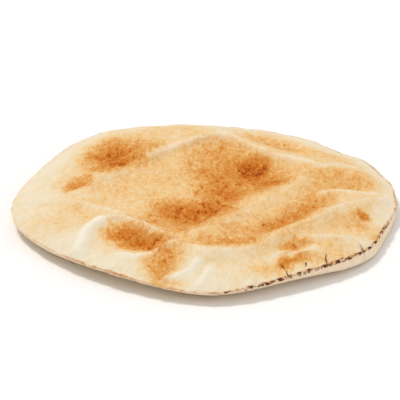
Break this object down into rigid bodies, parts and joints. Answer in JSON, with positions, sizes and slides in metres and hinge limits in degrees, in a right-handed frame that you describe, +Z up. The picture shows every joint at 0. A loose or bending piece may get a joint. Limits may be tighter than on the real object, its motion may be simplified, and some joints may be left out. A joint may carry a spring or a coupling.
{
  "type": "pita bread",
  "caption": "Round pocket flatbread with a folded, toasted top skin, a pale side wall and a flat underside that it lies on.",
  "frame": {"origin": "middle of the bread's outline, on the surface that the bread lies on", "axes": "+Z up through the bread's thickness, +Y to its back, +X to its right; the front rim faces -Y"},
  "size_m": [0.1996, 0.1944, 0.0215],
  "materials": {
    "crust": "matte, floury baked crust with toasted patches"
  },
  "bodies": {
    "root": {"pita_bread": "crust"}
  },
  "joints": []
}
